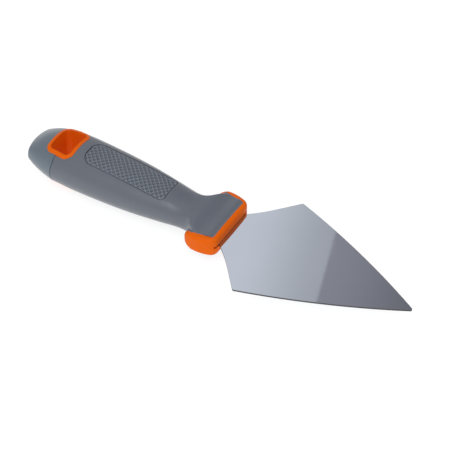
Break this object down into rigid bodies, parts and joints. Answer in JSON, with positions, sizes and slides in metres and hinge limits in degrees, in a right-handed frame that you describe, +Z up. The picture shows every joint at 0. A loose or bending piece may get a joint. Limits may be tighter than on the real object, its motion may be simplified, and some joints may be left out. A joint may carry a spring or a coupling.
{
  "type": "brick trowel",
  "caption": "Small pointing trowel: flat kite-shaped steel blade on a soft-grip handle with a moulded guard and a hanging hole.",
  "frame": {"origin": "bottom centre of the bounding box, with the trowel lying as it is drawn, the blade level", "axes": "+X along the trowel towards the blade's tip, +Y across it, +Z up, square to the blade"},
  "size_m": [0.2462, 0.076, 0.028],
  "materials": {
    "blade_steel": "polished",
    "pin_steel": "satin",
    "orange_plastic": "satin",
    "grey_rubber": "matt",
    "dark_rubber": "cross-hatched",
    "grey_plastic": "satin"
  },
  "bodies": {
    "root": {"blade": "blade_steel", "tang_pins": "pin_steel", "handle_core": "orange_plastic", "hang_hole_liner": "orange_plastic", "grip_sleeve": "grey_rubber", "grip_pad_top": "dark_rubber", "grip_pad_bottom": "dark_rubber", "end_cap": "grey_plastic"}
  },
  "joints": []
}
